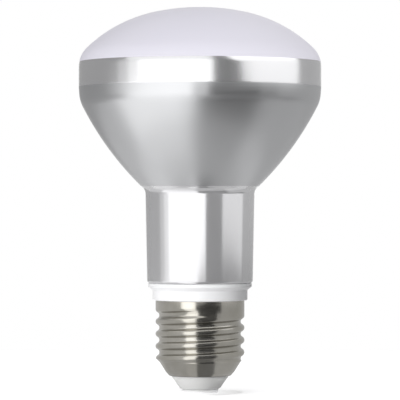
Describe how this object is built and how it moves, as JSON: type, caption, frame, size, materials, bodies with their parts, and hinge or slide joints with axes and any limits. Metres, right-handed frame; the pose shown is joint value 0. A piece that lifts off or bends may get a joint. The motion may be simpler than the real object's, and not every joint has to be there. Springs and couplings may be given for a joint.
{
  "type": "reflector bulb",
  "caption": "Reflector bulb with a frosted domed face, a silvered bowl and neck, a white collar and a screw cap.",
  "frame": {"origin": "centre of the flat tip of the cap's centre contact, where the lamp meets its lampholder", "axes": "+Z along the lamp's axis from the cap towards the face; -Y towards the camera of the picture"},
  "size_m": [0.0716, 0.0716, 0.1135],
  "materials": {
    "silvered_glass": "glossy, silvered on the inside, with a frosted white face",
    "collar_white": "gloss",
    "cap_metal": "nickel plated, bright",
    "insulator_white": "matte",
    "contact_metal": "tinned, satin"
  },
  "bodies": {
    "root": {"envelope": "silvered_glass", "collar": "collar_white", "screw_shell": "cap_metal", "cap_insulator": "insulator_white", "contact_button": "contact_metal"}
  },
  "joints": []
}
